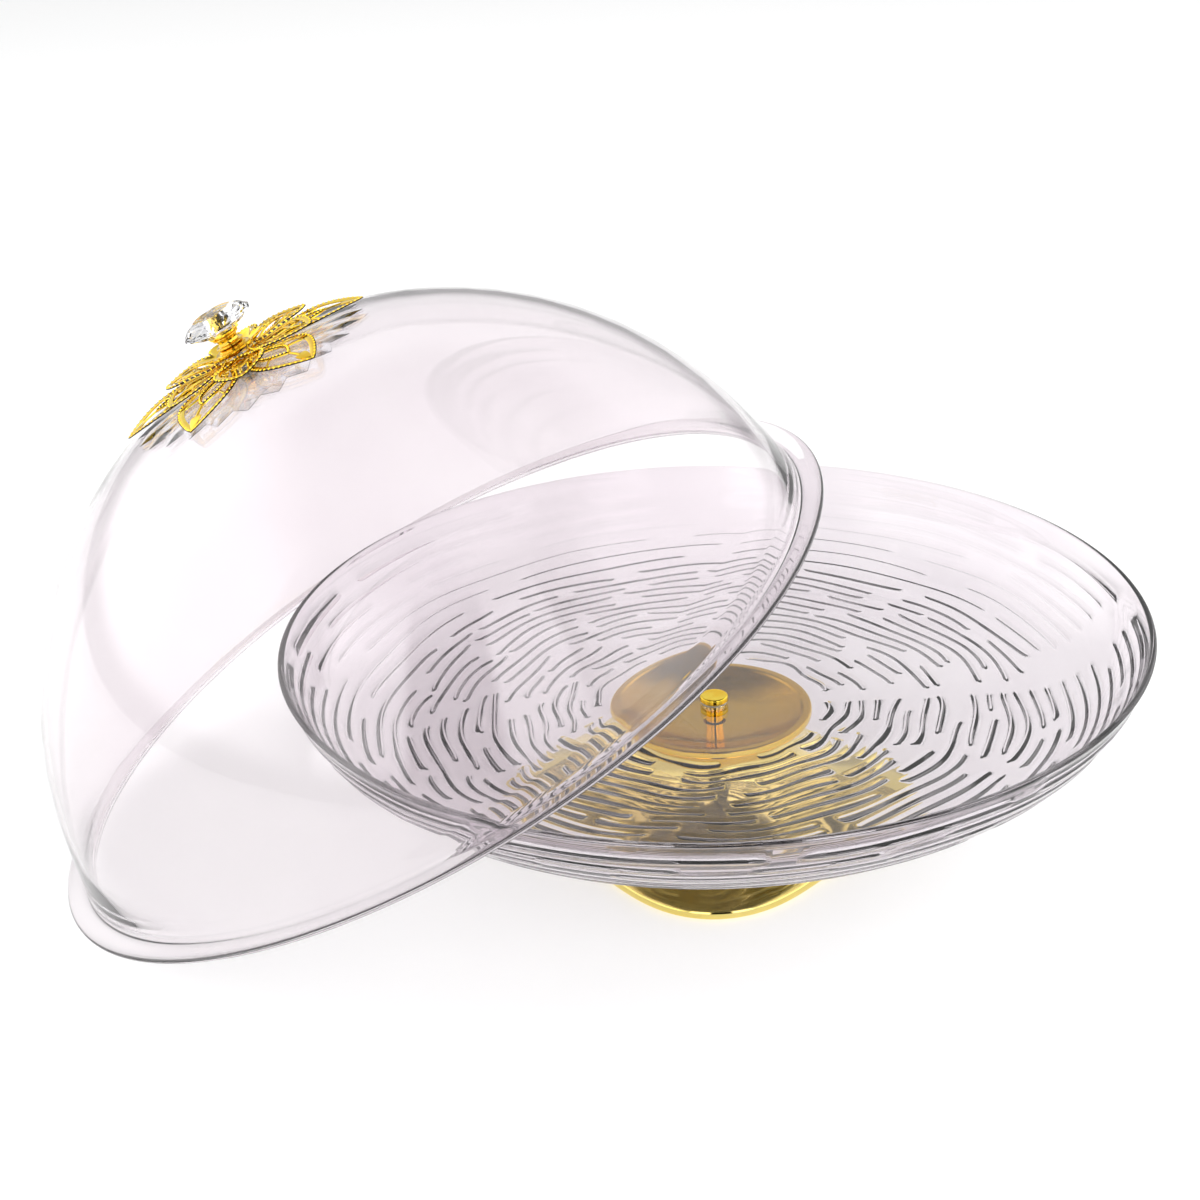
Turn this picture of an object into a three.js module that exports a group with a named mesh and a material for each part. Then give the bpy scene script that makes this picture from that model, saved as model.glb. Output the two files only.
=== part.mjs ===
// Cake stand with a domed cover, in millimetres, +Z up.
// The stand is a shallow clear plate held by one thumb screw on a hollow gold-plated pedestal. It is drawn
// about its own vertical axis from table level up. The dome leans over the plate with its flange on the
// table: its pieces are drawn upright about its own axis and then placed by one matrix, domePlacement.
// At the end everything is moved along X, so that the origin is the bottom centre of the whole part's box.
import * as THREE from 'three';

// ---- Driving dimensions ----
const PLATE_R = 165;            // outer radius of the plate's rim
const RIM_Z = 84.3;             // height of the rim above the table
const PLATE_FLOOR_Z = 45.5;     // underside of the plate's flat floor
const PLATE_T = 2.6;            // thickness of the plate
const PLATE_HOLE_R = 4.3;       // hole for the thumb screw

const FOOT_TURN = -5 * Math.PI / 180; // turn of the lobes about the axis
const PAD_CENTRE_R = 62;        // radius at which the four pads sit

const TOP_R = 37.8;             // gold dish on top of the pedestal
const TOP_Z = 45.2;             // its rim height
const SCREW_R = 3.4;            // thumb screw thread, M7 size
const SCREW_HEAD_R = 5.5;
const INSERT_BORE_R = 3.5;

const DOME_R = 156.2;           // outer radius of the dome's spherical wall
const DOME_DROP = 15.3;         // centre of that sphere below the mouth
const DOME_T = 2.2;             // wall of the dome
const FLANGE_R = 164.65;        // outer radius of the flange round the mouth
const CAP_R = 66;               // inside this radius the top is flatter than the sphere
const CAP_POWER = 2.9;
const KNOB_HOLE_R = 2.4;

const DOME_LEAN = 0.4492;       // radians, the dome's axis leans this far towards -X
const DOME_CENTRE = [-106.25, 0, 71.7]; // centre of the dome's mouth

// ---- Helpers ----
const TAU = Math.PI * 2;

function material(color, metalness, roughness, opacity = 1) {
  return new THREE.MeshStandardMaterial({ color, metalness, roughness, opacity, transparent: opacity < 1 });
}

// Turns every triangle over if the closed surface encloses a negative volume.
function outward(geometry) {
  const position = geometry.getAttribute('position');
  const index = geometry.getIndex();
  const a = new THREE.Vector3();
  const b = new THREE.Vector3();
  const c = new THREE.Vector3();
  let volume = 0;
  for (let i = 0; i < index.count; i += 3) {
    a.fromBufferAttribute(position, index.getX(i));
    b.fromBufferAttribute(position, index.getX(i + 1));
    c.fromBufferAttribute(position, index.getX(i + 2));
    volume += a.dot(b.cross(c));
  }
  if (volume < 0) {
    for (let i = 0; i < index.count; i += 3) {
      const keep = index.getX(i + 1);
      index.setX(i + 1, index.getX(i + 2));
      index.setX(i + 2, keep);
    }
  }
  return geometry;
}

// Grid of points, closed round the axis. closedSection joins the last row to the first (a ring-shaped
// section); otherwise the first and last rows are single points on the axis.
function sweptSolid(rows, columns, pointAt, closedSection) {
  const positions = [];
  const indices = [];
  for (let row = 0; row < rows; row += 1) {
    for (let column = 0; column < columns; column += 1) {
      positions.push(...pointAt(row, TAU * column / columns));
    }
  }
  const lastRow = closedSection ? rows : rows - 1;
  for (let row = 0; row < lastRow; row += 1) {
    for (let column = 0; column < columns; column += 1) {
      const next = (column + 1) % columns;
      const p = row * columns + column;
      const q = row * columns + next;
      const r = ((row + 1) % rows) * columns + next;
      const s = ((row + 1) % rows) * columns + column;
      indices.push(p, q, r, p, r, s);
    }
  }
  const geometry = new THREE.BufferGeometry();
  geometry.setAttribute('position', new THREE.Float32BufferAttribute(positions, 3));
  geometry.setIndex(indices);
  return outward(geometry);
}

// Turned ring: a closed loop of [radius, z] pairs that never touches the axis.
function ring(profile, columns = 20) {
  return sweptSolid(profile.length, columns, (row, angle) => [
    profile[row][0] * Math.cos(angle), profile[row][0] * Math.sin(angle), profile[row][1],
  ], true);
}

// Turned solid: [radius, z] pairs that start and end on the axis.
function turned(profile, columns = 20) {
  const points = profile.map(([radius, z]) => new THREE.Vector2(radius, z));
  const geometry = new THREE.LatheGeometry(points, columns);
  geometry.rotateX(Math.PI / 2);
  return outward(geometry);
}

function named(name, geometry, look) {
  const mesh = new THREE.Mesh(geometry, look);
  mesh.name = name;
  return mesh;
}

// ---- Shapes shared by several pieces ----
// The foot's outline: a mean radius with four rounded lobes.
function footOutline(mean, lobe, angle) {
  return mean + lobe * Math.cos(4 * (angle - FOOT_TURN));
}

// Height of the dome's outer surface above its mouth at a given radius from its axis.
function domeTop(radius) {
  if (radius >= CAP_R) {
    return Math.sqrt(DOME_R * DOME_R - radius * radius) - DOME_DROP;
  }
  const edge = Math.sqrt(DOME_R * DOME_R - CAP_R * CAP_R);
  const slope = CAP_R / edge;
  const rise = slope * CAP_R / CAP_POWER;
  return edge - DOME_DROP + rise * (1 - (radius / CAP_R) ** CAP_POWER);
}

const APEX = domeTop(0);

// ---- Looks ----
const gold = () => material(0xd9b24a, 1, 0.16);
const clear = () => material(0xe9e8ee, 0, 0.05, 0.35);
const milky = () => material(0xf3eef1, 0, 0.12, 0.4);
const rubber = () => material(0x222222, 0, 0.9);
const steel = () => material(0xb9bcc0, 1, 0.3);

const model = new THREE.Group();
model.name = 'cake_stand_dome';

// ---- Pedestal: hollow lobed foot flaring up into a round neck ----
const footRings = [
  [0.6, 72.4, 7], [1.2, 73, 7], [3.2, 73, 7], [4.6, 71.4, 6.8], [7, 64.6, 5.8], [10, 55.6, 4.2],
  [14, 46.8, 2.6], [19, 39.4, 1.3], [25, 34.2, 0.4], [31, 31.6, 0], [35.6, 31.4, 0], [39.9, 33.6, 0],
];
const footInside = [
  [39.9, 31.2, 0], [35, 29, 0], [30.4, 29.2, 0], [24, 31.6, 0.4], [17.8, 36.8, 1.3], [12.6, 44.4, 2.6],
  [8.2, 53.4, 4.2], [5, 62.4, 5.8], [2.6, 69, 6.4], [0.6, 70.2, 6.6],
];
const footSection = [...footRings, ...footInside];
model.add(named('pedestal', sweptSolid(footSection.length, 40, (row, angle) => {
  const [z, mean, lobe] = footSection[row];
  const radius = footOutline(mean, lobe, angle);
  return [radius * Math.cos(angle), radius * Math.sin(angle), z];
}, true), gold()));

// Dish on top of the neck, with a boss that holds the threaded insert.
model.add(named('pedestal_top', ring([
  [34.4, TOP_Z], [37.2, TOP_Z], [TOP_R, TOP_Z - 0.8], [TOP_R, TOP_Z - 2.6], [36.4, TOP_Z - 3.8],
  [32, 40.7], [27, 38.6], [18, 36.6], [9, 36], [9, 27], [6.1, 27], [6.1, 36.6], [4.2, 36.6], [4.2, 38.8],
  [12, 39], [20, 40.1], [28, 42.4], [33, 44.4],
], 32), gold()));

model.add(named('threaded_insert', ring([
  [INSERT_BORE_R, 27], [5.8, 27], [5.8, 30.4], [5.2, 30.8], [5.2, 33], [5.8, 33.4], [5.8, 36.3],
  [INSERT_BORE_R, 36.3],
]), material(0xb08d3c, 1, 0.35)));

// Moulded cover that closes the underside, and the four pads the stand rests on.
const coverSection = [[1.5, 66.4, 6.3], [1.5, 30, 0.5], [1.5, 4, 0], [3, 4, 0], [3, 30, 0.5], [3, 64, 5.6]];
model.add(named('base_cover', sweptSolid(coverSection.length, 40, (row, angle) => {
  const [z, mean, lobe] = coverSection[row];
  const radius = footOutline(mean, lobe, angle);
  return [radius * Math.cos(angle), radius * Math.sin(angle), z];
}, true), material(0x2b2b2e, 0, 0.6)));
for (let corner = 0; corner < 4; corner += 1) {
  const angle = FOOT_TURN + corner * Math.PI / 2;
  const pad = turned([[0, 0], [6.4, 0], [7, 0.5], [7, 1.2], [0, 1.2]], 16);
  pad.translate(PAD_CENTRE_R * Math.cos(angle), PAD_CENTRE_R * Math.sin(angle), 0);
  model.add(named(`foot_pad_${corner + 1}`, pad, rubber()));
}

// ---- Plate: flat floor, curved wall, rounded rim ----
const plateOutside = [
  [PLATE_HOLE_R, PLATE_FLOOR_Z], [60, PLATE_FLOOR_Z], [118, 45.8], [128, 47], [135, 49.8], [142, 53.8],
  [149, 59.2], [155, 65.5], [160, 73], [163.2, 80], [PLATE_R, RIM_Z - 0.9],
];
const plateInside = [
  [PLATE_R - 0.6, RIM_Z], [PLATE_R - 2.2, RIM_Z], [160.6, 80.6], [157.6, 74.4], [152.9, 67.2], [147.2, 61.2],
  [140.6, 56.1], [134, 52.3], [127.2, 49.6], [117.6, 48.4],
  [60, PLATE_FLOOR_Z + PLATE_T], [PLATE_HOLE_R, PLATE_FLOOR_Z + PLATE_T],
];
model.add(named('plate', ring([...plateOutside, ...plateInside], 48), clear()));

// Thumb screw: its washer rises with it as it is undone.
const floorTop = PLATE_FLOOR_Z + PLATE_T;
model.add(named('screw_washer', ring([
  [3.8, floorTop + 0.3], [5, floorTop + 0.3], [5, floorTop + 0.7], [3.8, floorTop + 0.7],
]), material(0xe8e6e2, 0, 0.4, 0.5)));
const headZ = floorTop + 1;
model.add(named('thumb_screw', turned([
  [0, 28], [2.6, 28], [SCREW_R, 29], [SCREW_R, headZ], [5, headZ], [SCREW_HEAD_R, headZ + 0.5],
  [SCREW_HEAD_R, headZ + 2.1], [5, headZ + 2.6], [0, headZ + 2.6],
]), gold()));

// ---- Dome and its ornament, drawn upright about the dome's own axis ----
const domePlacement = new THREE.Matrix4().makeRotationY(-DOME_LEAN);
domePlacement.setPosition(...DOME_CENTRE);

function addToDome(name, geometry, look) {
  geometry.applyMatrix4(domePlacement);
  model.add(named(name, geometry, look));
}

const domeOutside = [
  [164.2, 0], [FLANGE_R, 0.6], [FLANGE_R, 1.7], [164, 2.4], [159, 2.5], [156.4, 3.2], [155.1, 6],
];
const domeRadii = [152.2, 145.6, 134.6, 119.6, 101, 84, CAP_R, 42, 18, KNOB_HOLE_R];
for (const radius of domeRadii) {
  domeOutside.push([radius, domeTop(radius)]);
}
const innerR = DOME_R - DOME_T;
const domeInside = [[KNOB_HOLE_R, APEX - DOME_T], [18, domeTop(18) - DOME_T]];
for (const radius of [42, CAP_R, 84, 101, 119.6, 134.6, 145.6, 152.2]) {
  domeInside.push([radius * innerR / DOME_R, (domeTop(radius) + DOME_DROP) * innerR / DOME_R - DOME_DROP]);
}
domeInside.push([153, 2.4], [154.6, 0]);
addToDome('dome_shell', ring([...domeOutside, ...domeInside], 48), milky());

// Faceted clear rosette lying on the top of the dome: 18 ridges that alternate high and low.
const rosetteRadii = [KNOB_HOLE_R + 0.3, 9, 20, 32, 44];
const rosetteHeights = [1.8, 1.8, 1.6, 1.4, 1];
const rosetteRows = [];
for (let i = 0; i < rosetteRadii.length; i += 1) {
  rosetteRows.push([rosetteRadii[i], 0.3]);
}
for (let i = rosetteRadii.length - 1; i >= 0; i -= 1) {
  rosetteRows.push([rosetteRadii[i], 0.3 + rosetteHeights[i]]);
}
addToDome('rosette', sweptSolid(rosetteRows.length, 36, (row, angle) => {
  const [base, lift] = rosetteRows[row];
  const ridge = Math.round(angle / TAU * 36) % 2;
  const outer = base > 40 ? base + 3.6 * ridge : base;
  const height = lift > 0.5 && base > 9 ? lift - 0.6 * (1 - ridge) : lift;
  return [outer * Math.cos(angle), outer * Math.sin(angle), domeTop(outer) + height];
}, true), clear());

// Stamped openwork flower: a polar outline with holes, bent to follow the dome.
function flower({ petals, tip, valley, sharpness, turn, lift, thickness, holes }) {
  const stepsPerPetal = 10;
  const outline = [];
  for (let i = 0; i < petals * stepsPerPetal; i += 1) {
    const across = (i % stepsPerPetal) / stepsPerPetal * 2 - 1;
    const radius = tip - (tip - valley) * Math.abs(across) ** sharpness;
    const angle = turn + (Math.floor(i / stepsPerPetal) + across / 2) * TAU / petals;
    outline.push(new THREE.Vector2(radius * Math.cos(angle), radius * Math.sin(angle)));
  }
  const shape = new THREE.Shape(outline);
  const centreHole = [];
  for (let i = 0; i < 16; i += 1) {
    centreHole.push(new THREE.Vector2(2.7 * Math.cos(-i * TAU / 16), 2.7 * Math.sin(-i * TAU / 16)));
  }
  shape.holes.push(new THREE.Path(centreHole));
  for (let petal = 0; petal < petals; petal += 1) {
    const axis = turn + petal * TAU / petals;
    for (const hole of holes) {
      const points = hole.map(([along, aside]) => new THREE.Vector2(
        along * Math.cos(axis) - aside * Math.sin(axis),
        along * Math.sin(axis) + aside * Math.cos(axis),
      ));
      shape.holes.push(new THREE.Path(points));
    }
  }
  const geometry = new THREE.ExtrudeGeometry(shape, { depth: thickness, bevelEnabled: false });
  const position = geometry.getAttribute('position');
  for (let i = 0; i < position.count; i += 1) {
    const radius = Math.hypot(position.getX(i), position.getY(i));
    position.setZ(i, position.getZ(i) + domeTop(radius) + lift(radius));
  }
  return geometry;
}

const sideOpening = [[19, 1.2], [25, 1.2], [33, 1.2], [40, 1.2], [37.5, 4.6], [33, 7.6], [27.5, 8.4], [22, 6.6]];
addToDome('filigree_lower', flower({
  petals: 6,
  tip: 49,
  valley: 22,
  sharpness: 1.35,
  turn: 12 * Math.PI / 180,
  lift: (radius) => 3 + 0.6 * Math.sin(Math.max(0, radius - 22) / 27 * Math.PI),
  thickness: 0.9,
  holes: [sideOpening, sideOpening.map(([along, aside]) => [along, -aside])],
}), gold());

addToDome('filigree_upper', flower({
  petals: 6,
  tip: 33,
  valley: 13,
  sharpness: 1.7,
  turn: 42 * Math.PI / 180,
  lift: (radius) => 4.4 + 1.3 * Math.sin(Math.max(0, radius - 13) / 20 * Math.PI * 0.8),
  thickness: 0.9,
  holes: [[[13, 0], [17, 2.6], [22, 3.8], [26, 2.4], [28, 0], [26, -2.4], [22, -3.8], [17, -2.6]]],
}), gold());

// Knob: bead cap, turned collar, turned stem, cup and faceted crystal, held by a screw from inside.
addToDome('bead_cap', ring([
  [2.8, APEX + 6], [7.2, APEX + 6], [9.2, APEX + 7.8], [8.8, APEX + 8.3], [6.8, APEX + 6.9], [2.8, APEX + 6.8],
]), gold());
addToDome('knob_collar', ring([
  [2.8, APEX + 7.2], [5.4, APEX + 7.2], [5.8, APEX + 7.8], [5.2, APEX + 8.4], [4.4, APEX + 9], [2.8, APEX + 9],
]), gold());
addToDome('knob_stem', ring([
  [2.2, APEX + 9.3], [3.9, APEX + 9.3], [3.2, APEX + 10.6], [3.2, APEX + 13.2], [3.8, APEX + 14],
  [3.2, APEX + 14.8], [3.2, APEX + 19.6], [2.6, APEX + 20.2], [2.2, APEX + 20.2],
]), gold());
addToDome('knob_cup', ring([
  [4.1, APEX + 12.5], [5.4, APEX + 12.5], [7.8, APEX + 14.2], [7.5, APEX + 14.9], [5.2, APEX + 13.6],
  [4.1, APEX + 13.6],
]), gold());

// Crystal: eight-sided brilliant with a blind hole for the stem.
const crystalRows = [
  [3.6, 14.8, 0], [5, 14.8, 0], [9.6, 16, 1], [13.4, 18, 0], [13.4, 18.7, 0], [10.8, 21, 1], [7.6, 22.4, 0],
];
const crystal = sweptSolid(crystalRows.length + 3, 16, (row, angle) => {
  const rows = [...crystalRows, [0, 22.4, 0], [0, 20.6, 0], [3.6, 20.6, 0]];
  const [radius, z, turn] = rows[row];
  const shifted = angle + turn * TAU / 32;
  return [radius * Math.cos(shifted), radius * Math.sin(shifted), APEX + z];
}, true);
addToDome('knob_crystal', crystal, material(0xf4f6fa, 0, 0.02, 0.35));

// Inside the dome: steel screw and clear washer that clamp the ornament.
addToDome('knob_washer', ring([
  [2.5, APEX - DOME_T - 1.3], [7, APEX - DOME_T - 1.3], [7, APEX - DOME_T - 0.4], [2.5, APEX - DOME_T - 0.4],
]), material(0xe8e6e2, 0, 0.4, 0.5));
addToDome('knob_screw', turned([
  [0, APEX - DOME_T - 3.6], [2.6, APEX - DOME_T - 3.4], [3.9, APEX - DOME_T - 2.4], [3.9, APEX - DOME_T - 1.6],
  [1.9, APEX - DOME_T - 1.6], [1.9, APEX + 18.4], [1.4, APEX + 19], [0, APEX + 19],
]), steel());

const overall = new THREE.Box3().setFromObject(model);
const shift = -(overall.min.x + overall.max.x) / 2;
for (const mesh of model.children) {
  mesh.geometry.translate(shift, 0, 0);
}

export default model;
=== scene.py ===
"""Looks of the domed cake stand: a clear rippled plate on a gold pedestal, and a clear dome leaning over it.

Lengths inside the shape functions are millimetres, turned to metres when a mesh is made. The stand's pieces
are worked out about the stand's own axis, and the dome's pieces about the dome's own axis, upright, and then
leaned into place.
"""
import math

import bmesh
import bpy
import numpy as np
from mathutils import Matrix, Vector


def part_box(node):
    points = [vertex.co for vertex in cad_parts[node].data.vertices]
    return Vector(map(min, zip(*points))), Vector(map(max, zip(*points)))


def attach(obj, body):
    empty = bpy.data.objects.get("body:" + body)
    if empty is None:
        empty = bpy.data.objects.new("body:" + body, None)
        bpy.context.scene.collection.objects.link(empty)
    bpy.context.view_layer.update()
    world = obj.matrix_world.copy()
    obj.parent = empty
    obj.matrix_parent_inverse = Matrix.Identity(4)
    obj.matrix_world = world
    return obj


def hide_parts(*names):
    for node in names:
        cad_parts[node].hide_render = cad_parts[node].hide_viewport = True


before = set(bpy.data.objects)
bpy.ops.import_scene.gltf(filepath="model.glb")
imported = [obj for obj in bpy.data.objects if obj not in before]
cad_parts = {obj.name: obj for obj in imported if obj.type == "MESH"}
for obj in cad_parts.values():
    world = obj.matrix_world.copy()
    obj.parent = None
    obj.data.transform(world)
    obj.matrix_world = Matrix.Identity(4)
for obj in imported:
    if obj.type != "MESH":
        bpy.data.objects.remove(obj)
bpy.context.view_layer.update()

TAU = 2 * math.pi
MM = 0.001

# ---- Driving dimensions, millimetres ----
plate_low, plate_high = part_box("plate")
STAND_X = (plate_low[0] + plate_high[0]) / 2 / MM
PLATE_R = (plate_high[0] - plate_low[0]) / 2 / MM
RIM_Z = plate_high[2] / MM
FLOOR_Z = plate_low[2] / MM
PLATE_T = 2.6
RIPPLE_PITCH = 6.1
RIPPLE_H = 0.5

FOOT_TURN = math.radians(-5)

DOME_R = 156.2
DOME_DROP = 15.3
DOME_T = 2.2
CAP_R = 66
CAP_POWER = 2.9
DOME_LEAN = 0.4492
DOME_CENTRE = (-106.25, 0.0, 71.7)


# ---- Meshes ----
def smooth_line(points, per_span=6):
    """Catmull-Rom curve: each span between two points is the cubic whose end slopes are half
    the chord between the neighbours on either side."""
    p = np.array(points, float)
    padded = np.vstack([2 * p[0] - p[1], p, 2 * p[-1] - p[-2]])
    t = np.linspace(0, 1, per_span, endpoint=False)[None, :, None]
    a, b, c, d = (padded[i:len(p) - 1 + i][:, None, :] for i in range(4))
    spans = 0.5 * (2 * b + (c - a) * t + (2 * a - 5 * b + 4 * c - d) * t**2 + (3 * b - a - 3 * c + d) * t**3)
    return np.vstack([spans.reshape(-1, p.shape[1]), p[-1:]])


def grid_faces(rows, columns, close_rows=False, close_columns=True):
    """Quads between neighbouring points of a rows x columns grid, joined round in each closed direction."""
    r = np.arange(rows if close_rows else rows - 1)[:, None]
    c = np.arange(columns if close_columns else columns - 1)[None, :]
    r1, c1 = (r + 1) % rows, (c + 1) % columns
    corners = (r * columns + c, r * columns + c1, r1 * columns + c1, r1 * columns + c)
    quads = np.stack(np.broadcast_arrays(*corners), -1)
    return quads.reshape(-1, 4)


def leaned(points):
    """The dome's own axis turned by the lean about Y, and its mouth's centre moved to its place."""
    c, s = math.cos(DOME_LEAN), math.sin(DOME_LEAN)
    x, y, z = points[..., 0], points[..., 1], points[..., 2]
    return np.stack([c * x - s * z + DOME_CENTRE[0], y + DOME_CENTRE[1], s * x + c * z + DOME_CENTRE[2]], -1)


def piece(name, parts, look, body, nodes=(), on_dome=False, sharp=35):
    """One object from parts, each (points in mm, quads). Doubled points are merged, which closes seams and
    poles, and the faces are turned outwards. Edges bent by more than sharp degrees stay crisp."""
    counts = np.cumsum([0] + [len(p.reshape(-1, 3)) for p, _ in parts])
    points = np.vstack([p.reshape(-1, 3) for p, _ in parts])
    faces = np.vstack([f + n for (_, f), n in zip(parts, counts)])
    if on_dome:
        points = leaned(points)
    points = (points + (STAND_X, 0, 0)) * MM
    mesh = bpy.data.meshes.new(name)
    mesh.from_pydata(points.tolist(), [], faces.tolist())
    work = bmesh.new()
    work.from_mesh(mesh)
    bmesh.ops.remove_doubles(work, verts=work.verts, dist=2e-7)
    bmesh.ops.dissolve_degenerate(work, edges=work.edges, dist=1e-7)
    bmesh.ops.recalc_face_normals(work, faces=work.faces)
    work.to_mesh(mesh)
    work.free()
    mesh.shade_smooth()
    mesh.set_sharp_from_angle(angle=math.radians(sharp))
    mesh.materials.append(look)
    made = bpy.data.objects.new(name, mesh)
    bpy.context.scene.collection.objects.link(made)
    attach(made, body)
    if nodes:
        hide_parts(*nodes)
    return made


def turned(profile, columns=160):
    """The closed loop of (radius, z) pairs carried round the axis: (r cos a, r sin a, z)."""
    p = np.array(profile, float)
    a = np.arange(columns) * TAU / columns
    grid = np.stack([p[:, :1] * np.cos(a), p[:, :1] * np.sin(a), np.repeat(p[:, 1:2], columns, 1)], -1)
    return grid, grid_faces(len(p), columns, close_rows=True)


def lobed(rings, columns=256):
    """Rings of (z, mean, lobe): radius mean + lobe cos 4(a - turn) at height z, a closed loop of rings."""
    p = np.array(rings, float)
    a = np.arange(columns) * TAU / columns
    radius = p[:, 1:2] + p[:, 2:3] * np.cos(4 * (a - FOOT_TURN))
    grid = np.stack([radius * np.cos(a), radius * np.sin(a), np.repeat(p[:, :1], columns, 1)], -1)
    return grid, grid_faces(len(p), columns, close_rows=True)


def dome_top(radius):
    """Height of the dome's outer surface above its mouth: a sphere, flattened inside CAP_R by a power curve
    that leaves the sphere with the same slope."""
    radius = np.asarray(radius, float)
    edge = math.sqrt(DOME_R**2 - CAP_R**2)
    rise = CAP_R / edge * CAP_R / CAP_POWER
    ball = np.sqrt(np.maximum(DOME_R**2 - radius**2, 0)) - DOME_DROP
    cap = edge - DOME_DROP + rise * (1 - (radius / CAP_R)**CAP_POWER)
    return np.where(radius >= CAP_R, ball, cap)


APEX = float(dome_top(0))


# ---- Materials ----
def linear(code, alpha=1.0):
    """An sRGB hex colour as linear numbers."""
    parts = [int(code[i:i + 2], 16) / 255 for i in (1, 3, 5)]
    return [c / 12.92 if c <= 0.04045 else ((c + 0.055) / 1.055)**2.4 for c in parts] + [alpha]


def add(tree, kind, values=(), links=(), **settings):
    """Adds one node with its settings, its plain input values and its links."""
    made = tree.nodes.new(kind)
    for key, value in settings.items():
        setattr(made, key, value)
    for key, value in dict(values).items():
        made.inputs[key].default_value = value
    for key, source in dict(links).items():
        tree.links.new(source, made.inputs[key])
    return made


def surface(name, values, colours=None, grain_mm=20.0, roughness=None, bump=None):
    """A Principled surface. colours are two hex codes mixed by a noise of grain_mm; roughness is a (low,
    high) pair varied by the same noise; bump is (size in mm, depth in mm) of a fine relief."""
    look = bpy.data.materials.new(name)
    look.use_nodes = True
    tree = look.node_tree
    shader = tree.nodes["Principled BSDF"]
    for key, value in values.items():
        shader.inputs[key].default_value = value
    where = add(tree, "ShaderNodeTexCoord").outputs["Object"]
    noise = add(tree, "ShaderNodeTexNoise", {"Scale": 1 / (grain_mm * MM), "Detail": 4}, {"Vector": where})
    if colours:
        ramp = add(tree, "ShaderNodeValToRGB", (), {"Fac": noise.outputs["Fac"]})
        ramp.color_ramp.elements[0].position = 0.35
        ramp.color_ramp.elements[1].position = 0.65
        ramp.color_ramp.elements[0].color = linear(colours[0])
        ramp.color_ramp.elements[1].color = linear(colours[1])
        tree.links.new(ramp.outputs["Color"], shader.inputs["Base Color"])
    if roughness:
        spread = add(tree, "ShaderNodeMapRange", {"From Min": 0.35, "From Max": 0.65, "To Min": roughness[0],
                     "To Max": roughness[1]}, {"Value": noise.outputs["Fac"]})
        tree.links.new(spread.outputs["Result"], shader.inputs["Roughness"])
    if bump:
        fine = add(tree, "ShaderNodeTexNoise", {"Scale": 1 / (bump[0] * MM), "Detail": 2}, {"Vector": where})
        relief = add(tree, "ShaderNodeBump", {"Distance": bump[1] * MM, "Strength": 1.0},
                     {"Height": fine.outputs["Fac"]})
        tree.links.new(relief.outputs["Normal"], shader.inputs["Normal"])
    return look


# Electroplated ABS: a mirror of gold-tinted metal over moulded plastic, with faint orange peel.
plated_abs = surface("electroplated_abs", {"Metallic": 1.0}, ("#ECD678", "#F4E08C"), 40,
                     (0.04, 0.07), (14, 0.005))
# The dish's floor is plated over a finer moulding, which gives a softer, satin sheen.
plated_satin = surface("electroplated_abs_satin", {"Metallic": 1.0}, ("#E8C03C", "#F0CB4C"), 30, (0.08, 0.14),
                       (3, 0.006))
# Stamped zinc plated with gold: brighter and yellower, with sharp small highlights.
plated_zinc = surface("stamped_plated_zinc", {"Metallic": 1.0}, ("#FACB2E", "#FFE052"), 6, (0.07, 0.12),
                      (1.5, 0.01))
# Turned brass with a bright gold plate: sharper reflections than the stamped leaves.
plated_turned = surface("turned_plated_brass", {"Metallic": 1.0}, ("#EFC445", "#F6D25A"), 8, (0.03, 0.06))
# Painted shade: nearly black strips laid in the recesses between the beads, in place of the shadow that falls
# there.
painted_recess_shade = surface("painted_shade_in_recesses", {"Metallic": 1.0}, ("#1E1706", "#32270C"), 3,
                      (0.35, 0.5), (0.8, 0.01))
# Machined brass, slightly dull.
machined_brass = surface("machined_brass", {"Metallic": 1.0}, ("#B08A45", "#C29C55"), 3,
                         (0.25, 0.35), (0.8, 0.01))
# Injection-moulded acrylic: clear with a faint cool tint, and very shallow flow waves.
plate_acrylic = surface("moulded_acrylic", {"Transmission Weight": 1.0, "IOR": 1.49, "Roughness": 0.01},
                        ("#E3DCE1", "#E9E3E7"), 60, None, (30, 0.04))
# Blow-formed acrylic: clear, a little warmer, with long shallow waves.
dome_acrylic = surface("formed_acrylic", {"Transmission Weight": 0.98, "IOR": 1.49, "Roughness": 0.015},
                       ("#F4EFF2", "#F8F4F6"), 80, None, (70, 0.07))
# Cut acrylic crystal: colourless, with flat polished facets. Its IOR is set below acrylic's 1.49, so that
# the gold stem shows plainly inside the knob and the rosette stays pale.
cut_crystal = surface("cut_acrylic", {"Transmission Weight": 1.0, "IOR": 1.4, "Roughness": 0.0},
                      ("#FAFAFE", "#FFFFFF"), 10)
# Soft clear silicone washer.
silicone = surface("clear_silicone", {"Transmission Weight": 0.8, "IOR": 1.41, "Roughness": 0.35},
                   ("#E6E4E0", "#F0EEEA"), 4)
# Moulded ABS cover with a fine spark-eroded grain.
black_abs = surface("moulded_abs", {}, ("#1B1B1D", "#242427"), 12, (0.5, 0.65), (0.9, 0.05))
# Rubber pads, matt and a little dusty.
pad_rubber = surface("moulded_rubber", {}, ("#1A1A1A", "#2A2A28"), 5, (0.8, 0.95), (0.7, 0.05))
# Zinc-plated steel screw.
zinc_steel = surface("zinc_plated_steel", {"Metallic": 1.0}, ("#A9ADB3", "#C2C5C9"), 3,
                     (0.22, 0.34), (0.7, 0.01))


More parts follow.
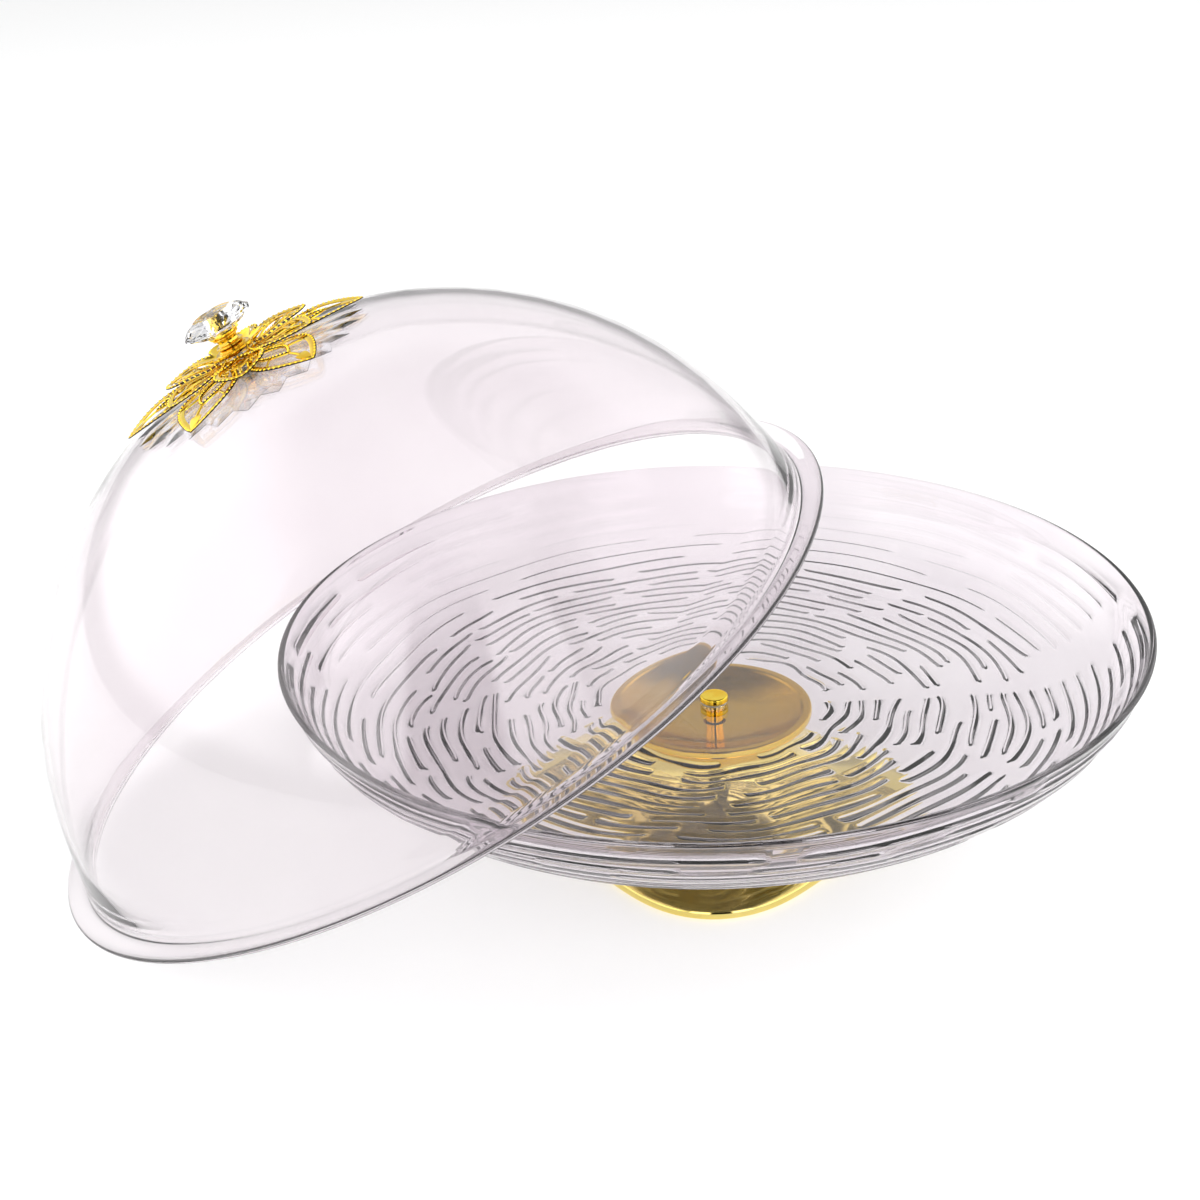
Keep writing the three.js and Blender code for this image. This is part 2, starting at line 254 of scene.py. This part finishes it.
# ---- Stand ----
foot_outside = smooth_line([
    (0.6, 72.4, 7), (1.2, 73, 7), (3.2, 73, 7), (4.6, 71.4, 6.8), (7, 64.6, 5.8), (10, 55.6, 4.2),
    (14, 46.8, 2.6), (19, 39.4, 1.3), (25, 34.2, 0.4), (31, 31.6, 0), (35.6, 31.4, 0), (39.9, 33.6, 0)], 4)
foot_inside = smooth_line([
    (39.9, 31.2, 0), (35, 29, 0), (30.4, 29.2, 0), (24, 31.6, 0.4), (17.8, 36.8, 1.3), (12.6, 44.4, 2.6),
    (8.2, 53.4, 4.2), (5, 62.4, 5.8), (2.6, 69, 6.4), (0.6, 70.2, 6.6)], 2)
piece("pedestal_plated", [lobed(np.vstack([foot_outside, foot_inside]))], plated_abs, "stand",
      ["pedestal"], sharp=50)

dish_section = np.vstack([
    smooth_line([(34.2, 44.9), (34.9, 45.2), (36.9, 45.2), (37.6, 44.9), (37.8, 44.2), (37.8, 42.8),
                 (37, 41.8)], 4),
    smooth_line([(36.4, 41.4), (32, 40.7), (27, 38.6), (18, 36.6), (9.4, 36)], 4),
    [(9, 35.6), (9, 27), (6.1, 27), (6.1, 36.6), (4.2, 36.6), (4.2, 38.8)],
    smooth_line([(4.4, 39), (12, 39.05), (20, 40.1), (28, 42.2), (32.6, 43.8), (33.6, 44.2)], 5)])
piece("pedestal_dish", [turned(dish_section)], plated_satin, "stand", ["pedestal_top"])

cover_section = [(1.5, 66.4, 6.3), (1.5, 48, 2.5), (1.9, 46, 2.2), (1.9, 30, 0.5), (1.5, 28, 0.4),
                 (1.5, 4, 0), (3, 4, 0), (3, 30, 0.5), (3, 64, 5.6)]
piece("base_cover_moulded", [lobed(cover_section, 128)], black_abs, "stand", ["base_cover"])
for corner in range(4):
    angle = FOOT_TURN + corner * TAU / 4
    pad, pad_faces = turned([(0, 0), (4.2, 0), (4.6, 0.25), (5.2, 0.25), (5.6, 0), (6.5, 0.05), (7, 0.5),
                             (7, 1.2), (0, 1.2)], 48)
    pad = pad + (62 * math.cos(angle), 62 * math.sin(angle), 0)
    piece(f"foot_pad_{corner + 1}_rubber", [(pad, pad_faces)], pad_rubber, "stand",
          [f"foot_pad_{corner + 1}"])

screw_section = np.vstack([
    [(0, 28), (2.6, 28), (3.4, 29)],
    [(3.4 - 0.28 * (i % 2), 29 + 0.5 * i) for i in range(1, 15)],
    [(3.35, 36.6), (3.35, 48.9), (3.6, 49.1), (4.9, 49.1), (5.5, 49.7), (5.5, 51.0)],
    smooth_line([(5.5, 51.0), (5.35, 51.45), (4.9, 51.65), (4.2, 51.7)], 4), [(0, 51.7)]])
piece("thumb_screw_turned", [turned(screw_section, 96)], plated_zinc, "thumb_screw",
      ["thumb_screw"])


# ---- Plate: its underside carries rings of raised dashes ----
def plate_outside():
    """Points of the plate's outer surface from the floor's edge at radius 41 to the rim, evenly 0.25 mm
    apart, with unit normals that point out of the plate."""
    line = smooth_line([(41, FLOOR_Z), (60, FLOOR_Z), (100, FLOOR_Z + 0.05), (118, 45.9), (128, 47),
                        (135, 49.8), (142, 53.8), (149, 59.2), (155, 65.5), (160, 73), (163.2, 80),
                        (PLATE_R, RIM_Z - 0.9)], 20)
    steps = np.r_[0, np.cumsum(np.hypot(*np.diff(line, axis=0).T))]
    s = np.arange(0, steps[-1], 0.25)
    at = np.stack([np.interp(s, steps, line[:, i]) for i in (0, 1)], -1)
    slope = np.gradient(at, axis=0)
    slope /= np.linalg.norm(slope, axis=1)[:, None]
    return s, at, np.stack([slope[:, 1], -slope[:, 0]], -1)


def rippled_plate(columns=520, seed=11):
    """Rings of raised dashes on the outer surface. A ring at distance s along the section wanders by a sum of
    slow sines of the angle, and its dashes hook aside near their ends by hook * exp(-distance / 5 mm).
    Across a ring the height is a rounded ridge, and along it the ridge stands where a random row of dashes
    says so."""
    rng = np.random.default_rng(seed)
    s_line, at, normal = plate_outside()
    length = s_line[-1]
    rings = int((length - 2) / RIPPLE_PITCH)
    a = np.arange(columns) * TAU / columns
    across = np.array([-2.6, -0.8, -0.48, 0.0, 0.48, 0.8])
    rise = np.array([0.0, 0.0, 0.8, 1.0, 0.8, 0.0])
    rows_s, rows_h = [], []
    for ring in range(rings):
        centre = (ring + 0.55) * RIPPLE_PITCH
        radius = np.interp(centre, s_line, at[:, 0])
        on_wall = np.clip((radius - 120) / 25, 0, 1)
        around = a * radius
        dash = np.zeros(columns)
        hook = np.zeros(columns)
        first = rng.uniform(4, 30)
        place = first
        while place < TAU * radius - 12:
            run = rng.uniform(16, 74) * (1 + 1.4 * on_wall)
            stop = min(place + run, TAU * radius - 2)
            on = (around >= place) & (around <= stop)
            dash[on] = rng.uniform(0.8, 1.0)
            hook += rng.uniform(-1.6, 1.6) * np.exp(-np.abs(around - place) / 5)
            hook += rng.uniform(-1.6, 1.6) * np.exp(-np.abs(around - stop) / 5)
            place += run + rng.uniform(4, 15) * (1 + on_wall)
        own = 1 - 0.5 * on_wall
        slow = (1.5 * np.sin(3 * a + 0.030 * centre + 0.3) + 1.0 * np.sin(7 * a - 0.045 * centre + 1.7)
                + 0.6 * np.sin(13 * a + 0.09 * centre + 4.0))
        wander = (1 - 0.6 * on_wall) * (slow + np.clip(hook, -1.5, 1.5)) + 0.3 * np.sin(9 * a + 5.0 * ring)
        width = np.where(across < -1.5, 1.0, 1.0 - 0.3 * on_wall)
        rows_s.append(centre + wander + (across * width)[:, None])
        rows_h.append(rise[:, None] * dash * own * RIPPLE_H)
    s = np.clip(np.vstack(rows_s), 0.4, length - 3.2)
    s = np.maximum.accumulate(s + np.arange(len(s))[:, None] * 1e-3, 0)
    h = np.vstack(rows_h)
    radius = np.interp(s, s_line, at[:, 0]) + np.interp(s, s_line, normal[:, 0]) * h
    z = np.interp(s, s_line, at[:, 1]) + np.interp(s, s_line, normal[:, 1]) * h
    inner = [(4.3, FLOOR_Z), (24, FLOOR_Z), (41, FLOOR_Z)]
    rim = smooth_line([at[-12], (PLATE_R - 0.1, RIM_Z - 1.1), (PLATE_R, RIM_Z - 0.6),
                       (PLATE_R - 0.5, RIM_Z - 0.1), (PLATE_R - 1.2, RIM_Z), (PLATE_R - 2.0, RIM_Z - 0.2),
                       (PLATE_R - 2.5, RIM_Z - 0.8)], 3)
    inside = smooth_line([(160.6, 80.0), (157.6, 74.0), (152.9, 67.0), (147.2, 61.0), (140.6, 56.0),
                          (134, 52.3), (127.2, 49.7), (117.6, 48.4), (90, FLOOR_Z + PLATE_T),
                          (41, FLOOR_Z + PLATE_T)], 3)
    last = [(4.3, FLOOR_Z + PLATE_T)]
    plain = [np.array(p, float) for p in (inner, np.vstack([rim, inside]), last)]
    all_r = np.vstack([np.repeat(plain[0][:, :1], columns, 1), radius, np.repeat(plain[1][:, :1], columns, 1),
                       np.repeat(plain[2][:, :1], columns, 1)])
    all_z = np.vstack([np.repeat(plain[0][:, 1:], columns, 1), z, np.repeat(plain[1][:, 1:], columns, 1),
                       np.repeat(plain[2][:, 1:], columns, 1)])
    grid = np.stack([all_r * np.cos(a), all_r * np.sin(a), all_z], -1)
    return grid, grid_faces(len(grid), columns, close_rows=True)


piece("plate_rippled", [rippled_plate()], plate_acrylic, "stand", ["plate"], sharp=70)


# ---- Dome ----
wall_radii = np.r_[152.2, 148, 142, 134.6, 126, 116, 105, 94, 84, 75, CAP_R, 58, 50, 42, 34, 26, 18, 10, 2.4]
dome_outside = np.stack([wall_radii, dome_top(wall_radii)], -1)
inner_scale = (DOME_R - DOME_T) / DOME_R
steep = wall_radii[::-1] >= CAP_R
inner_radii = np.where(steep, wall_radii[::-1] * inner_scale, wall_radii[::-1])
inner_z = np.where(steep, (dome_top(wall_radii[::-1]) + DOME_DROP) * inner_scale - DOME_DROP,
                   dome_top(wall_radii[::-1]) - DOME_T)
flange = np.vstack([
    smooth_line([(163.9, 0.0), (164.4, 0.1), (164.6, 0.4), (164.6, 0.9), (164.35, 1.25), (163.7, 1.4)], 4),
    [(161, 1.42), (158.6, 1.46)],
    smooth_line([(157.4, 1.55), (156.6, 1.8), (156.15, 2.6), (155.95, 4.0), (155.3, 6.5), (154.4, 9.5)], 3)])
mouth = smooth_line([(153.1, 3.4), (153.25, 2.0), (153.7, 0.9), (154.6, 0.25), (155.8, 0.0)], 4)
dome_section = np.vstack([flange, dome_outside, np.stack([inner_radii, inner_z], -1), mouth])
piece("dome_formed", [turned(dome_section, 256)], dome_acrylic, "dome", ["dome_shell"], True)


# ---- Ornament on the dome ----
def on_petal(path, axis, lift):
    """Points (along, aside) of a petal laid on the dome: turned by the petal's axis, at the dome's height at
    that radius plus lift(radius)."""
    along, aside = path[..., 0], path[..., 1]
    radius = np.hypot(along, aside)
    x = along * math.cos(axis) - aside * math.sin(axis)
    y = along * math.sin(axis) + aside * math.cos(axis)
    return np.stack([x, y, dome_top(radius) + lift(radius)], -1)


def strip(points, width, thick, closed=False):
    """A wire of oval section along points: at each point the section's eight corners lie at width/2 across
    the path and thick/2 up. An open wire narrows to a point at both ends."""
    p = np.array(points, float)
    ahead = np.roll(p, -1, 0) if closed else np.vstack([p[1:], 2 * p[-1:] - p[-2:-1]])
    behind = np.roll(p, 1, 0) if closed else np.vstack([2 * p[:1] - p[1:2], p[:-1]])
    tangent = ahead - behind
    tangent /= np.linalg.norm(tangent, axis=1)[:, None] + 1e-9
    side = np.cross(tangent, (0, 0, 1.0))
    side /= np.linalg.norm(side, axis=1)[:, None] + 1e-9
    up = np.cross(side, tangent)
    b = np.arange(8) * TAU / 8 + TAU / 16
    width = np.broadcast_to(np.asarray(width, float), (len(p),)).copy()
    high = np.full(len(p), float(thick))
    if not closed:
        width[[0, -1]] = 0
        high[[0, -1]] = 0
    across = np.sign(np.cos(b)) * np.abs(np.cos(b))**0.6
    over = np.sign(np.sin(b)) * np.abs(np.sin(b))**0.6
    grid = (p[:, None] + side[:, None] * (across * width[:, None] / 2)[..., None]
            + up[:, None] * (over * high[:, None] / 2)[..., None])
    return grid, grid_faces(len(p), 8, close_rows=closed)


def beads(points, size):
    """Small balls of that diameter, each four bands by six sides, at the points."""
    v, u = np.meshgrid(np.linspace(0, math.pi, 5), np.arange(6) * TAU / 6, indexing="ij")
    ball = np.stack([np.sin(v) * np.cos(u), np.sin(v) * np.sin(u), np.cos(v)], -1).reshape(-1, 3) * size / 2
    grid = (np.array(points)[:, None] + ball[None]).reshape(-1, 3)
    one = grid_faces(5, 6)
    many = (one[None] + (np.arange(len(points)) * len(ball))[:, None, None]).reshape(-1, 4)
    return grid, many


def along_line(path, step, start=0.0):
    """Points every step mm along a path of points."""
    d = np.r_[0, np.cumsum(np.linalg.norm(np.diff(path, axis=0), axis=1))]
    s = np.arange(start, d[-1], step)
    return np.stack([np.interp(s, d, path[:, i]) for i in range(path.shape[1])], -1)


def leaf(base, tip, half, sharpness=1.0, points=41, middle=0.55):
    """A leaf's edge from its base, out one side to the tip and back: half-width half * sin(pi t^k)^sharpness,
    with its widest place at the share middle of its length."""
    t = np.linspace(0, 1, points)
    k = math.log(0.5) / math.log(middle)
    wide = half * np.sin(math.pi * t**k)**sharpness
    out = np.stack([base + (tip - base) * t, wide], -1)
    back = np.stack([out[::-1, 0], -out[::-1, 1]], -1)
    return np.vstack([out, back[1:-1]])


def lower_lift(radius):
    """The lower petals stand 3.4 mm off the dome and bow up by 0.7 sin(pi t) between radius 22 and 49."""
    return 3.4 + 0.7 * np.sin(np.clip((radius - 22) / 27, 0, 1) * math.pi)


def upper_lift(radius):
    """The upper petals stand 4.9 mm off and rise by 1.5 sin(0.8 pi t) between radius 12 and 33."""
    return 4.9 + 1.5 * np.sin(np.clip((radius - 12) / 21, 0, 1) * math.pi * 0.8)


# Outlines of the petals, as (along, aside) paths: the edge bands, the rims outside them that carry the beads,
# and the smaller leaves within.
LOWER_EDGE = leaf(8, 48.0, 10.4, 0.85, 61, 0.54)
LOWER_LEAF = leaf(13, 35, 4.4, 0.85, 41, 0.52)
LOWER_RIM = leaf(7.6, 48.8, 11.4, 0.85, 61, 0.54)
UPPER_EDGE = leaf(6, 32.4, 9.0, 0.7, 49, 0.58)
UPPER_RIM = leaf(5.6, 33.2, 9.9, 0.7, 49, 0.58)
UPPER_LEAF = leaf(10, 25, 3.8, 0.8, 33, 0.6)


def petals(turn, lift, shapes):
    """For each of six petals, shapes(place), where place lays a path of (along, aside) on that petal."""
    parts = []
    for petal in range(6):
        axis = math.radians(turn) + petal * TAU / 6
        parts += shapes(lambda path, rise=0.0, axis=axis: on_petal(path, axis, lift) + (0, 0, rise))
    return parts


def straight(start, stop, points=9):
    """A straight path of that many points between two (along, aside) places."""
    return np.linspace(start, stop, points)


def lower_shapes(place):
    """One long pointed leaf: a broad edge band with beads round its rim, a smaller beaded leaf inside,
    slanting bars between the two, and a solid tip."""
    parts = [strip(place(LOWER_EDGE), 2.5, 0.7, True), strip(place(LOWER_LEAF), 1.5, 0.7, True)]
    parts.append(beads(place(along_line(LOWER_RIM, 2.1), 0.3), 1.05))
    parts.append(beads(place(along_line(LOWER_LEAF, 1.6), 0.5), 0.9))
    parts.append(strip(place(straight((34, 0), (43, 0))), 1.2, 0.7))
    for side in (-1, 1):
        for near, inner, far, outer in ((19, 3.8, 23, 9.6), (28, 4.0, 33, 9.2)):
            parts.append(strip(place(straight((near, side * inner), (far, side * outer))), 1.0, 0.65))
    tip_widths = [0, 4.4, 4.8, 4.5, 3.9, 3.2, 2.3, 1.3, 0]
    parts.append(strip(place(straight((40.5, 0), (48.6, 0), 9)), tip_widths, 0.6))
    return parts


def upper_shapes(place):
    """One shorter leaf that arches up: a broad band with beads round its rim, a leaf inside it and two
    curls beside that."""
    parts = [strip(place(UPPER_EDGE), 2.3, 0.7, True), strip(place(UPPER_LEAF), 1.4, 0.7, True)]
    parts.append(beads(place(along_line(UPPER_RIM, 2.1), 0.3), 1.05))
    parts.append(strip(place(straight((24.5, 0), (31, 0))), 1.2, 0.7))
    for side in (-1, 1):
        turn = np.linspace(0.2, 4.2, 17)
        reach = 3.0 - 0.5 * turn
        curl = np.stack([22.5 - reach * np.cos(turn) * 1.4, side * (5.0 + reach * np.sin(turn) * 0.7)], -1)
        parts.append(strip(place(curl), 0.9, 0.6))
    return parts


def ring_band(radius, width, lift):
    """A flat ring round the stem at that radius, which joins the petals' feet."""
    a = np.arange(48) * TAU / 48
    return strip(on_petal(radius * np.stack([np.cos(a), np.sin(a)], -1), 0, lift), width, 0.8, True)


def lower_petals():
    """Six long petals, joined by a ring at their feet."""
    return petals(12, lower_lift, lower_shapes) + [ring_band(9, 3.4, lower_lift)]


def upper_petals():
    """Six shorter petals, turned to lie between the long ones, joined by a ring at their feet."""
    return petals(42, upper_lift, upper_shapes) + [ring_band(6.4, 3.0, upper_lift)]


def painted_shade_lines():
    """Narrow strips under the rows of beads, coloured nearly black as painted shade: they stand in for the
    shadow between the beads.
    """
    parts = petals(12, lower_lift, lambda place: [strip(place(LOWER_RIM, 0.15), 1.3, 0.5, True),
                                                  strip(place(LOWER_LEAF, 0.35), 0.95, 0.35, True)])
    return parts + petals(42, upper_lift, lambda place: [strip(place(UPPER_RIM, 0.15), 1.3, 0.5, True)])


def cup_leaves(radii, heights, leaves, turn, thick=0.6, depth=0.3, columns=96):
    """A cupped flower of rounded leaves: the radius at row i is radii[i] (1 - depth t^1.5
    |sin(n a / 2)|^2.2), where t runs from 0 to 1 at the rim, and the height follows heights, less a dip of
    the same shape between the leaves. The wall is closed by a copy thick above it."""
    a = np.arange(columns) * TAU / columns
    t = np.linspace(0, 1, len(radii))[:, None]
    notch = np.abs(np.sin(leaves * (a - turn) / 2))[None]**2.2
    r = np.array(radii, float)[:, None] * (1 - depth * t**1.5 * notch)
    z = np.array(heights, float)[:, None] - 0.35 * t * notch * (heights[-1] - heights[0])
    under = np.stack([r * np.cos(a), r * np.sin(a), z], -1)
    over = under[::-1] + (0, 0, thick)
    grid = np.vstack([under, over])
    return grid, grid_faces(len(grid), columns, close_rows=True)


def cut_rosette(columns=288):
    """Clear rosette under the flower: a thin plain disc whose edge is cut into 24 pointed leaves. At angle a
    the edge lies at 42 + 5.2 w, where w is a triangle wave, and each leaf has a ridge that rises 0.3 mm."""
    a = np.arange(columns) * TAU / columns
    t = np.array([0.0, 0.5, 0.74, 0.82, 0.9, 0.96, 1.0])[:, None]
    ridge = 1 - np.abs(((a * 24 / TAU) % 1) * 2 - 1)
    edge = 42 + 5.2 * ridge
    radius = 2.8 + (edge - 2.8) * t
    leaf_rise = np.clip(1 - np.abs(t - 0.88) / 0.13, 0, 1) * ridge
    top = 0.3 + 0.5 * (1 - 0.7 * t) + 0.3 * leaf_rise
    under = np.full_like(top, 0.3)
    grid = np.vstack([np.stack([radius * np.cos(a), radius * np.sin(a), dome_top(radius) + under], -1),
                      np.stack([radius * np.cos(a), radius * np.sin(a), dome_top(radius) + top], -1)[::-1]])
    return grid, grid_faces(len(grid), columns, close_rows=True)


piece("rosette_cut", [cut_rosette()], cut_crystal, "dome", ["rosette"], True, sharp=8)
piece("filigree_lower_stamped", lower_petals(), plated_zinc, "dome", ["filigree_lower"], True)
piece("filigree_upper_stamped", upper_petals(), plated_zinc, "dome", ["filigree_upper"], True)
# Painted shade: the dark strips under the rows of beads stand in for the shadow between the beads.
piece("filigree_painted_shade", painted_shade_lines(), painted_recess_shade, "dome", (), True)
cap_heights = (APEX + 6.4, APEX + 6.2, APEX + 6.6, APEX + 7.6, APEX + 8.6)
piece("cap_flower", [cup_leaves((2.8, 5, 8, 11, 13.5), cap_heights, 6, math.radians(12))],
      plated_zinc, "dome", ["bead_cap"], True)
piece("stem_collar", [turned(np.vstack([
    [(2.8, APEX + 7.1)],
    smooth_line([(6.3, APEX + 7.1), (7.0, APEX + 7.5), (6.7, APEX + 8.0), (5.9, APEX + 8.1),
                 (5.5, APEX + 8.3), (5.5, APEX + 8.6), (4.9, APEX + 9)], 5),
    [(2.8, APEX + 9)]]), 72)],
      plated_turned, "dome", ["knob_collar"], True)
piece("stem_turned", [turned(np.vstack([
    [(2.2, APEX + 9.3), (4.4, APEX + 9.3)],
    smooth_line([(5.0, APEX + 9.4), (5.4, APEX + 9.8), (5.1, APEX + 10.2), (4.3, APEX + 10.35),
                 (4.0, APEX + 10.7), (3.9, APEX + 11.4), (4.0, APEX + 12.1), (4.3, APEX + 12.5),
                 (4.9, APEX + 12.7),
                 (5.2, APEX + 13.1), (4.9, APEX + 13.5), (4.2, APEX + 13.7), (3.8, APEX + 14.1),
                 (3.5, APEX + 14.6)], 4),
    [(3.4, APEX + 19.6), (2.6, APEX + 20.2), (2.2, APEX + 20.2)]]), 72)],
      plated_turned, "dome", ["knob_stem"], True)
cup_heights = (APEX + 13.6, APEX + 13.65, APEX + 13.8, APEX + 14.1)
piece("crystal_cup", [cup_leaves((4.3, 5.0, 5.7, 6.3), cup_heights, 8, 0, 0.5, 0.16)],
      plated_zinc, "dome", ["knob_cup"], True)

for node, look in (("threaded_insert", machined_brass), ("screw_washer", silicone), ("knob_washer", silicone),
                   ("knob_screw", zinc_steel), ("knob_crystal", cut_crystal)):
    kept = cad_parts[node]
    kept.data.materials.clear()
    kept.data.materials.append(look)


# ---- Stage: floor, light and camera ----
floor_mesh = bpy.data.meshes.new("floor")
HALF = 2.6   # half the floor's side, metres
floor_mesh.from_pydata([(-HALF, -HALF, 0), (HALF, -HALF, 0), (HALF, HALF, 0), (-HALF, HALF, 0)], [],
                       [(0, 1, 2, 3)])
floor = bpy.data.objects.new("floor", floor_mesh)
bpy.context.scene.collection.objects.link(floor)
paper = bpy.data.materials.new("white_paper")
paper.use_nodes = True
paper.node_tree.nodes["Principled BSDF"].inputs["Base Color"].default_value = linear("#F6F6F6")
paper.node_tree.nodes["Principled BSDF"].inputs["Roughness"].default_value = 1.0
floor_mesh.materials.append(paper)
floor.location.z = -0.2 * MM   # just clear of the pads


def studio_world():
    """A pale backdrop behind the piece, a dark room on the viewer's side that holds upright pale screens, a
    dark ceiling over both, and two bright side walls that rise past the ceiling. A low band near the floor is
    mid grey. What the camera sees of it directly is white. Each part is mixed over the last one by a smooth
    step of the direction's X, Y or Z."""
    world = bpy.data.worlds.new("studio")
    world.use_nodes = True
    bpy.context.scene.world = world
    tree = world.node_tree
    tree.nodes.clear()
    where = add(tree, "ShaderNodeTexCoord").outputs["Generated"]
    axes = add(tree, "ShaderNodeSeparateXYZ", (), {"Vector": where})

    def step(source, first, last, low=0.0, high=1.0):
        """low below first and high above last, eased between them."""
        ends = {"From Min": first, "From Max": last, "To Min": low, "To Max": high}
        made = add(tree, "ShaderNodeMapRange", ends, {"Value": source}, interpolation_type="SMOOTHSTEP")
        return made.outputs[0]

    turn = add(tree, "ShaderNodeMath", (), {0: axes.outputs["Y"], 1: axes.outputs["X"]}, operation="ARCTAN2")
    strips = add(tree, "ShaderNodeMath", {1: 7.0, 2: -0.35}, {0: turn.outputs[0]}, operation="MULTIPLY_ADD")
    wave = add(tree, "ShaderNodeMath", (), {0: strips.outputs[0]}, operation="SINE")
    screens = step(wave.outputs[0], 0.2, -0.3, 0.02, 2.3)
    backdrop = step(axes.outputs["Z"], 0.18, 0.42, 0.85, 0.8)
    behind = step(axes.outputs["Y"], -0.15, 0.35)
    around = add(tree, "ShaderNodeMix", (), {0: behind, 2: screens, 3: backdrop})
    ceiling = step(axes.outputs["Z"], 0.6, 0.85)
    roofed = add(tree, "ShaderNodeMix", {3: 0.08}, {0: ceiling, 2: around.outputs[0]})
    aside = add(tree, "ShaderNodeMath", (), {0: axes.outputs["X"]}, operation="ABSOLUTE")
    side = step(aside.outputs[0], 0.4, 0.8)
    walls = add(tree, "ShaderNodeMix", {3: 1.9}, {0: side, 2: roofed.outputs[0]})
    above_band = step(axes.outputs["Z"], 0.02, 0.16)
    room = add(tree, "ShaderNodeMix", {2: 0.5}, {0: above_band, 3: walls.outputs[0]})
    seen = add(tree, "ShaderNodeLightPath")
    plain = add(tree, "ShaderNodeMix", {3: 1.0}, {0: seen.outputs["Is Camera Ray"], 2: room.outputs[0]})
    glow = add(tree, "ShaderNodeBackground", {"Strength": 1.0}, {"Color": plain.outputs[0]})
    out = add(tree, "ShaderNodeOutputWorld")
    tree.links.new(glow.outputs[0], out.inputs["Surface"])


studio_world()


def softbox(name, place, size, power):
    """A square area light of that size in metres, at a place in metres, turned to face the plate."""
    lamp = bpy.data.lights.new(name, "AREA")
    lamp.size = size
    lamp.energy = power
    made = bpy.data.objects.new(name, lamp)
    bpy.context.scene.collection.objects.link(made)
    aim = Vector((STAND_X * MM, 0, 0.06)) - Vector(place)
    made.visible_glossy = False  # the studio's walls make the reflections, the lamps only the light
    made.visible_transmission = False
    lamp.use_shadow = False  # clear acrylic lets the lamps through, so it throws no dark shadow
    made.matrix_world = Matrix.Translation(place) @ aim.to_track_quat("-Z", "Y").to_matrix().to_4x4()


softbox("left_softbox", (-1.5, -0.15, 1.6), 1.6, 23)
softbox("right_softbox", (1.6, -0.1, 1.6), 1.6, 23)

CAMERA_AT = (-42.23, -742.77, 437.76)   # millimetres from the stand's axis at table level
CAMERA_EL = 0.4327   # radians it looks down
CAMERA_ROLL = -0.0526   # radians it is turned about its own line of sight
lens = bpy.data.cameras.new("camera")
lens.lens = 64.60
lens.sensor_width = 36.0
camera = bpy.data.objects.new("camera", lens)
bpy.context.scene.collection.objects.link(camera)
right = Vector((1, 0, 0))
up = Vector((0, math.sin(CAMERA_EL), math.cos(CAMERA_EL)))
turned_right = right * math.cos(CAMERA_ROLL) + up * math.sin(CAMERA_ROLL)
turned_up = up * math.cos(CAMERA_ROLL) - right * math.sin(CAMERA_ROLL)
back = turned_right.cross(turned_up)
place = Vector(((CAMERA_AT[0] + STAND_X) * MM, CAMERA_AT[1] * MM, CAMERA_AT[2] * MM))
camera.matrix_world = Matrix((
    (turned_right.x, turned_up.x, back.x, place.x),
    (turned_right.y, turned_up.y, back.y, place.y),
    (turned_right.z, turned_up.z, back.z, place.z),
    (0, 0, 0, 1)))
bpy.context.scene.camera = camera
bpy.context.scene.view_settings.view_transform = "Standard"
